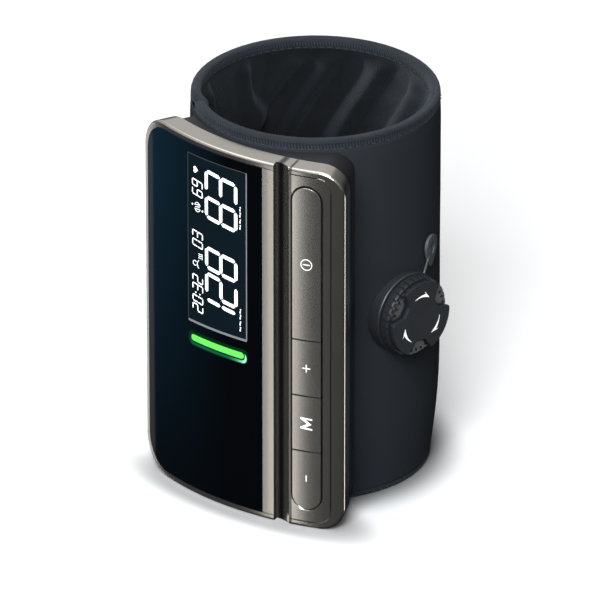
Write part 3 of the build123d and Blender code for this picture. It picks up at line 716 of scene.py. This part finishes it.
def stitch_mesh(name, places, thickness):
    """Short threads: each place is (middle, direction along, direction out)."""
    made = bmesh.new()
    sides, steps = 6, 5
    for middle, along, out in places:
        up = along.cross(out)
        loops = []
        for i in range(steps + 1):
            t = i / steps
            swell = sqrt(max(1 - (2 * t - 1) ** 4, 0.0)) * 0.92 + 0.08
            center = middle + along * (STITCH_LENGTH * (t - 0.5)) + out * (thickness * 0.35 * swell)
            spokes = [out * cos(2 * pi * k / sides) + up * sin(2 * pi * k / sides)
                      for k in range(sides)]
            loops.append([made.verts.new((center + spoke * thickness / 2 * swell) * MM)
                          for spoke in spokes])
        for first, second in zip(loops[:-1], loops[1:]):
            for k in range(sides):
                made.faces.new((first[k], first[(k + 1) % sides],
                                second[(k + 1) % sides], second[k]))
        made.faces.new(loops[0])
        made.faces.new(list(reversed(loops[-1])))
    bmesh.ops.recalc_face_normals(made, faces=made.faces)
    mesh = bpy.data.meshes.new(name)
    made.to_mesh(mesh)
    made.free()
    return mesh


def ring_stitches(name, radius, height, face, first, last):
    """A row of stitches round the cuff, from one angle past the overlap to another.

    face is 1 on the cuff's outside and -1 on its inside.
    """
    pitch = (STITCH_LENGTH + 1.15) / radius / DEGREE
    places = []
    angle = OVERLAP + first
    while angle < OVERLAP + last:
        turn = radians(angle)
        along = Vector((cos(turn), sin(turn), 0))
        out = Vector((sin(turn), -cos(turn), 0)) * face
        places.append((Vector(polar(radius, angle, height)), along, out))
        angle += pitch
    new_piece(name, stitch_mesh(name, places, 0.34), THREAD)


def make_bindings():
    """Tape round the rim and the foot, with its stitches."""
    seam = BINDING_LOW + 0.95
    top = tape_ring("rim_tape", BINDING_LOW - 0.3, TOP - 0.05, -0.5, 1.35, 2.6, 0.5)
    ring_stitches("rim_stitches_outside", SLEEVE_RADIUS - 0.5, seam, 1, 4, 342)
    ring_stitches("rim_stitches_inside", LINING_RADIUS - 0.06, seam, -1, 6, 338)
    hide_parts("top_binding")
    foot = tape_ring("foot_tape", 0.05, FOOT_HIGH + 0.15, -0.35, 1.2, 2.2, 0.0)
    ring_stitches("foot_stitches", wall_radius(SLEEVE_RADIUS, 1.7) - 0.33, 1.2, 1, 4, 342)
    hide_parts("bottom_binding")


def make_gusset():
    """Small stretch-mesh web that bridges the two ends of the rim."""
    rows, columns = 10, 16
    low, high = SLEEVE_HIGH - 5.0, TOP - 1.2
    width, height = 8.0, 10.0
    grid = []
    for i in range(rows + 1):
        t = i / rows
        z = low + (high - low) * t
        line = []
        for j in range(columns + 1):
            s = j / columns
            angle = OVERLAP - 1.5 + 9.5 * s
            radius = LINING_RADIUS + 0.4 - 2.4 * s * (1 - 0.25 * t) - 0.5 * sin(pi * s) * t
            line.append(polar(radius, angle, z - 2.2 * s * t))
        grid.append(line)
    back = [[(x * 0.992, y * 0.992, z) for x, y, z in line] for line in grid]
    shell = [front + list(reversed(rear)) for front, rear in zip(grid, back)]

    def cloth(i, j):
        j %= len(shell[0])
        return width * min(j, 2 * columns + 1 - j) / columns, height * i / rows

    mesh = grid_mesh("rim_gusset", shell, cloth)
    piece = new_piece("rim_gusset", mesh, GUSSET_MESH)
    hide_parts("overlap_gusset")


def make_flap_seam():
    """Row of upright stitches along the sleeve's hemmed outer edge, where it laps over."""
    angle, pitch = OVERLAP + 2.6, 2.9
    up, out = Vector((0, 0, 1)), Vector(polar(1.0, angle, 0.0))
    places = []
    z = SLEEVE_LOW + 3.0
    while z < SLEEVE_HIGH - 1.5:
        radius = wall_radius(SLEEVE_RADIUS, z) + sleeve_offset(angle, z) - 0.05
        places.append((Vector(polar(radius, angle, z)), up, out))
        z += pitch
    mesh = stitch_mesh("flap_stitches", places, 0.3)
    new_piece("flap_stitches", mesh, THREAD)


# ---------------------------------------------------------------- marks on the display and keys
def on_arc(radius):
    """Map (distance along the display's arc, height, lift) to a point, in millimetres."""
    def point(s, z, lift):
        angle = s / FRONT_RADIUS
        reach = radius + lift
        return (FRONT_CENTER[0] + reach * sin(angle), FRONT_CENTER[1] - reach * cos(angle), z)
    return point


def on_dial(s, z, lift):
    """Map (along the face, up the face, lift) to a point on the dial cap's face."""
    turn = radians(DIAL_ANGLE)
    reach = DIAL_FACE + lift
    return (reach * sin(turn) + s * cos(turn), -reach * cos(turn) + s * sin(turn), DIAL_HEIGHT + z)


def marks(name, outlines, surface, finish, body=ROOT, lift=0.05, depth=0.05):
    """Thin raised shapes on a surface, cut finely enough to follow its curve."""
    made = bmesh.new()
    for outline in outlines:
        made.faces.new([made.verts.new((s, 0, z)) for s, z in outline])
    bmesh.ops.remove_doubles(made, verts=made.verts, dist=1e-4)
    low = min(v.co.x for v in made.verts)
    high = max(v.co.x for v in made.verts)
    widest_strip, sunk = 1.2, 0.12
    cuts = int((high - low) / widest_strip)
    for k in range(1, cuts + 1):
        bmesh.ops.bisect_plane(made, geom=made.verts[:] + made.edges[:] + made.faces[:],
                               plane_co=(low + (high - low) * k / (cuts + 1), 0, 0),
                               plane_no=(1, 0, 0))
    raised = bmesh.ops.extrude_face_region(made, geom=made.faces[:])
    for item in raised["geom"]:
        if isinstance(item, bmesh.types.BMVert):
            item.co.y = 1.0
    for vert in made.verts:
        height = lift + depth if vert.co.y > 0.5 else lift - sunk
        vert.co = Vector(surface(vert.co.x, vert.co.z, height)) * MM
    bmesh.ops.recalc_face_normals(made, faces=made.faces)
    mesh = bpy.data.meshes.new(name)
    made.to_mesh(mesh)
    made.free()
    return new_piece(name, mesh, finish, body, smooth=False)


def degrees_to_arc(angle):
    return FRONT_RADIUS * radians(angle)


# A digit's seven bars, each as the two (column, row) points that it joins, and which are lit
BARS = {"a": ((0, 2), (1, 2)), "b": ((1, 2), (1, 1)), "c": ((1, 1), (1, 0)),
        "d": ((0, 0), (1, 0)), "e": ((0, 1), (0, 0)), "f": ((0, 2), (0, 1)),
        "g": ((0, 1), (1, 1))}
LIT = {"0": "abcdef", "1": "bc", "2": "abged", "3": "abgcd", "6": "afgedc", "8": "abcdefg",
       "9": "abcdfg"}


def glyph_bar(first, second, thick, gap):
    """Six-cornered bar between two points of a digit."""
    (x0, y0), (x1, y1) = first, second
    length = sqrt((x1 - x0) ** 2 + (y1 - y0) ** 2)
    ux, uy = (x1 - x0) / length, (y1 - y0) / length
    half = thick / 2

    def at(along, side):
        return (x0 + ux * along - uy * side, y0 + uy * along + ux * side)

    return [at(gap, 0), at(gap + half, half), at(length - gap - half, half),
            at(length - gap, 0), at(length - gap - half, -half), at(gap + half, -half)]


def number(text, foot, start, height, width, thick, advance, slant=0.14):
    """Seven-segment digits that read upwards. foot is the arc position of their base line."""
    outlines = []
    reading = start
    for letter in text:
        if letter == ":":
            for level in (0.3, 0.68):
                cx, cy = advance * 0.1, height * level
                dot = [(cx + thick * 0.7 * cos(k * pi / 4), cy + thick * 0.7 * sin(k * pi / 4))
                       for k in range(8)]
                outlines.append([(foot - y, reading + x + slant * y) for x, y in dot])
            reading += advance * 0.34
            continue
        inset = thick / 2
        for bar in LIT[letter]:
            ends = [(inset + column * (width - thick), inset + row * (height - thick) / 2)
                    for column, row in BARS[bar]]
            shape = glyph_bar(*ends, thick, thick * 0.22)
            outlines.append([(foot - y, reading + x + slant * y) for x, y in shape])
        reading += advance
    return outlines


def ring_strip(center, inner, outer, start=0.0, end=360.0, steps=32, squeeze=1.0):
    """Quads of a ring or an arc about a centre."""
    quads = []
    for k in range(steps):
        a, b = (radians(start + (end - start) * i / steps) for i in (k, k + 1))
        quads.append([(center[0] + r * cos(t) * squeeze, center[1] + r * sin(t))
                      for r, t in ((inner, a), (outer, a), (outer, b), (inner, b))])
    return quads


def bar_between(start, end, thick):
    """Plain bar as one quad."""
    (x0, y0), (x1, y1) = start, end
    length = sqrt((x1 - x0) ** 2 + (y1 - y0) ** 2)
    nx, ny = -(y1 - y0) / length * thick / 2, (x1 - x0) / length * thick / 2
    return [(x0 + nx, y0 + ny), (x1 + nx, y1 + ny), (x1 - nx, y1 - ny), (x0 - nx, y0 - ny)]


def rounded_box(left, right, low, high, corner, steps=5):
    """Outline of a rectangle with round corners."""
    points = []
    for x, z, start in ((right - corner, high - corner, 0), (left + corner, high - corner, 90),
                        (left + corner, low + corner, 180), (right - corner, low + corner, 270)):
        points += [(x + corner * cos(radians(start + 90 * k / steps)),
                    z + corner * sin(radians(start + 90 * k / steps))) for k in range(steps + 1)]
    return points


GLASS = on_arc(FRONT_RADIUS)
KEY_FACE = on_arc(FRONT_RADIUS + KEY_PROUD)
SCREEN_LEFT, SCREEN_RIGHT = degrees_to_arc(-10.15), degrees_to_arc(4.5)
SCREEN_LOW, SCREEN_HIGH = 72.7, 142.0


def make_screen():
    """Lit display: a dark panel in a thin bevelled frame, its readings and small symbols. The frame's
    bevel is drawn as painted shade on its left and top edges and a painted highlight on its right and
    bottom ones.
    """
    marks("screen_panel", [rounded_box(SCREEN_LEFT, SCREEN_RIGHT, SCREEN_LOW, SCREEN_HIGH, 0.3)],
          GLASS, SCREEN, lift=0.02, depth=0.0)
    left, right, low, high = SCREEN_LEFT, SCREEN_RIGHT, SCREEN_LOW, SCREEN_HIGH
    thin, plain, thick = 0.36, 0.45, 0.9
    # the frame's edges: painted shade on the left and top, painted highlight on the right and bottom
    for side, start, end, width, finish in (
            ("left", (left, low), (left, high), thin, EDGE_PAINTED_SHADE),
            ("top", (left, high), (right, high), thin, EDGE_PAINTED_SHADE),
            ("right", (right, low), (right, high), plain, EDGE_PAINTED_HIGHLIGHT),
            ("bottom", (left, low), (right, low), thick, EDGE_PAINTED_HIGHLIGHT)):
        marks("screen_edge_" + side, [bar_between(start, end, width)], GLASS, finish,
              lift=0.04, depth=0.03)

    big = {"height": 15.6, "width": 9.5, "thick": 1.45, "advance": 10.75}
    foot = degrees_to_arc(2.45)
    marks("reading_upper", number("83", foot, 116.0, **big), GLASS, SEGMENTS)
    marks("reading_lower", number("128", foot, 73.6, **big), GLASS, SEGMENTS)
    small = {"height": 5.6, "width": 2.9, "thick": 0.42, "advance": 3.6}
    foot = degrees_to_arc(-6.1)
    marks("reading_pulse", number("69", foot, 125.2, **small), GLASS, SEGMENTS)
    marks("reading_count", number("03", foot, 104.0, **small), GLASS, SEGMENTS)
    marks("reading_clock", number("20:32", foot, 77.2, **small), GLASS, SEGMENTS)
    marks("screen_symbols", screen_symbols(), GLASS, SEGMENTS)


def heart_symbol():
    s, z, size, steps = degrees_to_arc(-8.0), 136.2, 1.35, 20
    outline = []
    for k in range(steps):
        t = 2 * pi * k / steps
        x = 16 * sin(t) ** 3
        y = 13 * cos(t) - 5 * cos(2 * t) - 2 * cos(3 * t) - cos(4 * t)
        outline.append((s - y * size / 16, z + x * size / 16))
    return [outline]


def cuff_symbol():
    """A ring in two halves with three bars in it, between two dots."""
    s, z, dot = degrees_to_arc(-7.5), 121.0, 0.35
    shapes = []
    for start in (20, 200):
        shapes += ring_strip((s, z), 1.75, 2.0, start, start + 140, 10, 0.8)
    shapes += [bar_between((s - 1.1, z - 1.0 + k), (s + 1.1, z - 0.6 + k), 0.25)
               for k in (0.0, 0.9, 1.8)]
    for u, v in ((-2.7, 0.5), (2.6, -0.9)):
        shapes.append(rounded_box(s + u - dot, s + u + dot, z + v - dot, z + v + dot, 0.3, 3))
    return shapes


def person_symbol():
    s, z = degrees_to_arc(-7.6), 97.4
    head = ring_strip((s - 1.3, z), 0.85, 1.1, 40, 320, 14)
    shoulders = ring_strip((s + 2.0, z), 1.9, 2.15, 125, 235, 12)
    return head + shoulders


def store_symbol():
    """Three short bars and a longer one beside them."""
    s, z, thick = degrees_to_arc(-6.9), 101.0, 0.22
    bars = [bar_between((s - 0.8, z + k), (s + 0.8, z + k), thick) for k in (-0.8, 0.0, 0.8)]
    return bars + [bar_between((s + 1.15, z - 1.2), (s + 1.15, z + 1.2), thick)]


def tick_row(s, start, pitch, lengths, thick, stagger=0.0):
    """Row of short ticks that stands in for a label."""
    shapes = []
    for k, length in enumerate(lengths):
        aside, foot = s + stagger * (k % 2), start + pitch * k
        shapes.append(bar_between((aside, foot), (aside, foot + length), thick))
    return shapes


def screen_symbols():
    """Heart, cuff, person and store symbols, and rows of ticks in place of labels."""
    shapes = heart_symbol() + cuff_symbol() + person_symbol() + store_symbol()
    unit = (0.9, 0.6, 1.0, 0.4, 0.9, 0.7, 0.8, 0.5)
    for start in (118.2, 75.9):
        shapes += tick_row(degrees_to_arc(3.05), start, 1.25, unit, 0.42, stagger=0.15)
    return shapes + tick_row(degrees_to_arc(-5.35), 130.0, 1.1, (0.7, 0.5, 0.8, 0.4, 0.7), 0.35)


def make_lamp():
    """Green status lamp: a lit bar in a shallow slot whose lower lip catches its light. The glow
    round the bar, in the slot's well and on its lip is painted light on the glass.
    """
    left, right, middle = degrees_to_arc(-9.35), degrees_to_arc(3.85), 65.9
    # painted light: the lamp's glow round its bar
    marks("painted_lamp_halo", [rounded_box(left - 1.7, right + 1.7, middle - 3.4, middle + 2.7, 2.3)],
          GLASS, PAINTED_LAMP_HALO, lift=0.015, depth=0.0)
    # painted light: the lamp's light caught on the slot's lower lip
    marks("lamp_lip", [rounded_box(left - 0.6, right + 1.2, middle - 3.0, middle + 1.2, 1.9)],
          GLASS, PAINTED_LAMP_LIP, lift=0.02, depth=0.02)
    # painted light: the lamp's glow in the slot's well
    marks("lamp_well", [rounded_box(left - 0.5, right + 0.45, middle - 1.95, middle + 1.75, 1.5)],
          GLASS, PAINTED_LAMP_HALO, lift=0.045, depth=0.0)
    marks("lamp_core", [rounded_box(left, right, middle - 1.3, middle + 1.3, 1.2)],
          GLASS, LAMP_CORE, lift=0.05, depth=0.03)


def key_mark(key, outlines):
    """Printed symbol on a key's face. It rides on its own key."""
    marks(key + "_symbol", outlines, KEY_FACE, PRINT_PAINTED_GLOW, key + "_key",
          lift=0.01, depth=0.03)


def make_key_symbols():
    """Power, plus, M and minus signs, all turned to be read from the right."""
    s = degrees_to_arc(KEY_ANGLE)
    z = 110.0
    key_mark("power", ring_strip((s, z), 2.0, 2.3) + [bar_between((s - 1.3, z), (s + 1.3, z), 0.36)])

    z, arm, thin = 67.0, 1.55, 0.18
    quarter = ((arm, -thin), (arm, thin), (thin, thin))
    turns = ((1, 0), (0, 1), (-1, 0), (0, -1))
    key_mark("plus", [[(s + u * a - v * b, z + v * a + u * b) for a, b in turns for u, v in quarter]])

    z, half_high, half_wide, stroke, notch = 43.9, 2.35, 2.35, 0.62, 0.62
    inner = half_wide - stroke
    letter = [(-half_wide, 0), (-half_wide, 1), (-inner, 1), (0, 0.42), (inner, 1), (half_wide, 1),
              (half_wide, 0), (inner, 0), (inner, notch), (0, 0.06), (-inner, notch), (-inner, 0)]
    key_mark("memory", [[(s + half_high * (1 - 2 * v), z + u + 0.25 * (v - 0.5)) for u, v in letter]])

    z = 20.9
    key_mark("minus", [bar_between((s, z - 1.25), (s, z + 1.25), 0.42)])


def arrow(tail, head, radius, steps=14):
    """Curved arrow that tapers to its tail, as quads, and the outline of its barbed head."""
    shapes = []
    body = head + (tail - head) * 0.3

    def at(angle, r):
        return (r * cos(radians(angle)), r * sin(radians(angle)))

    for k in range(steps):
        first, second = (tail + (body - tail) * i / steps for i in (k, k + 1))
        widths = [0.06 + 0.52 * (i / steps) ** 1.2 for i in (k, k + 1)]
        shapes.append([at(first, radius - widths[0]), at(first, radius + widths[0]),
                       at(second, radius + widths[1]), at(second, radius - widths[1])])
    shapes.append([at(body, radius - 0.58), at(body, radius + 0.58),
                   at(body + (tail - head) * 0.08, radius + 1.65), at(head, radius - 0.6)])
    return shapes


def make_dial_arrows():
    """Three curved arrows on the dial's cap that show which way tightens it."""
    outlines = []
    radius = 9.4
    for tail, head in ((112, 64), (-8, -56), (236, 188)):
        outlines += arrow(tail, head, radius)
    marks("dial_arrows", outlines, on_dial, PRINT_PAINTED_GLOW, "knob", lift=0.0, depth=0.04)


# ---------------------------------------------------------------- finishes
# the housing's paint is darkened by painted shade in its groove and seams
PEWTER = paint("pewter_paint", (0.50, 0.475, 0.435), shade=painted_groove_shade)
# the keys' paint is darkened by painted shade in the gaps between them
KEY_PEWTER = paint("key_paint", (0.52, 0.495, 0.455), shade=painted_split_shade)
GLASS_FINISH = smoked_glass()
BLACK = moulded("black_plastic", (0.012, 0.013, 0.015), specular=0.25)
DIAL_BLACK = moulded("dial_plastic", (0.014, 0.0155, 0.018), 0.42, 0.3, 0.015)
CAP_BLACK = moulded("dial_cap_plastic", (0.016, 0.0185, 0.022), 0.5, 0.25, 0.01, 0.1)
GUIDE_GREY = moulded("guide_plastic", (0.06, 0.068, 0.072), 0.42, 0.8, 0.06)
SILICONE = moulded("silicone", (0.22, 0.23, 0.24), 0.6)
BOARD_GREEN = moulded("solder_mask", (0.02, 0.14, 0.06), 0.35, 1.2, 0.02)
COMPONENT = moulded("component_case", (0.03, 0.03, 0.034), 0.45)
CELL_WRAP = moulded("cell_wrap", (0.10, 0.18, 0.36), 0.35)
SHEET = moulded("milky_sheet", (0.7, 0.71, 0.71), 0.4)
BLADDER = moulded("bladder_film", (0.18, 0.18, 0.19), 0.35)
LACE = moulded("coated_lace", (0.055, 0.058, 0.062), 0.4, 0.3, 0.06)
STEEL = metal("steel", (0.6, 0.6, 0.6))
BRASS = metal("brass", (0.7, 0.55, 0.27))
SCREEN = printed("screen_navy", (0.0028, 0.0062, 0.0088), 0.55, 0.25)
# painted shade and painted highlight of the screen frame's bevel
EDGE_PAINTED_SHADE = printed("screen_edge_painted_shade", (0.03, 0.036, 0.04), 0.3, 0.3)
EDGE_PAINTED_HIGHLIGHT = printed("screen_edge_painted_highlight", (0.15, 0.16, 0.175), 0.5, 0.3)
SEGMENTS = printed("lit_segments", (0.9, 0.93, 0.95), 0.85)
# white print with a painted glow: the ink gives off light though it is no lamp
PRINT_PAINTED_GLOW = printed("white_print_painted_glow", (0.85, 0.85, 0.84), 0.45)
# painted glow of the lamp's light on the glass round its bar
PAINTED_LAMP_HALO = printed("painted_lamp_halo", (0.001, 0.014, 0.005), 0.8, 0.3)
PAINTED_LAMP_LIP = painted_lip_glow()
LAMP_CORE = printed("lamp_core", (0.09, 0.46, 0.07), 0.9, 0.3)
SLEEVE_KNIT = knit("sleeve_knit", (0.0175, 0.0208, 0.0250))
LINING_MESH = open_mesh("lining_mesh", (0.0034, 0.0042, 0.0054))
GUSSET_MESH = open_mesh("gusset_mesh", (0.030, 0.033, 0.037), 1.1)
TAPE = tape("binding_tape", (0.0112, 0.0138, 0.017))
THREAD = moulded("thread", (0.02, 0.024, 0.028), 0.7, 0.15, 0.03)

NODE_FINISHES = {
    "front_housing": PEWTER, "rear_housing": BLACK, "display_glass": GLASS_FINISH,
    "lcd_module": SCREEN, "light_bar": LAMP_CORE, "keypad_mat": SILICONE,
    "key_board": BOARD_GREEN, "main_board": BOARD_GREEN, "processor_chip": COMPONENT,
    "pressure_sensor": COMPONENT, "battery_cells": CELL_WRAP, "usb_port": STEEL,
    "housing_screws": STEEL, "mounting_screws": STEEL, "pump_motor": STEEL, "pump_head": BLACK,
    "pump_rotor": STEEL, "release_valve": COMPONENT, "valve_plunger": BRASS,
    "air_tube": SILICONE, "air_nipple": BLACK, "cuff_plate": BLACK, "shell_sheet": SHEET,
    "air_bladder": BLADDER, "dial_base": DIAL_BLACK, "dial_post": DIAL_BLACK,
    "post_retainer": STEEL, "tension_lace": LACE, "lace_winding": LACE, "lace_anchor": GUIDE_GREY,
    "lace_guide": GUIDE_GREY, "power_button": KEY_PEWTER, "plus_button": KEY_PEWTER,
    "memory_button": KEY_PEWTER, "minus_button": KEY_PEWTER, "detent_sleeve": STEEL,
    "dial_knob": DIAL_BLACK, "knob_cap": CAP_BLACK, "pawl_ring": DIAL_BLACK,
    "lace_spool": DIAL_BLACK,
}


def finish_nodes():
    """Give each CAD node its finish. Its shape stays as packed."""
    for name, finish in NODE_FINISHES.items():
        data = nodes[name].data
        data.materials.clear()
        data.materials.append(finish)


finish_nodes()
make_sleeve()
make_lining()
make_bindings()
make_gusset()
make_flap_seam()
make_screen()
make_lamp()
make_key_symbols()
make_dial_arrows()
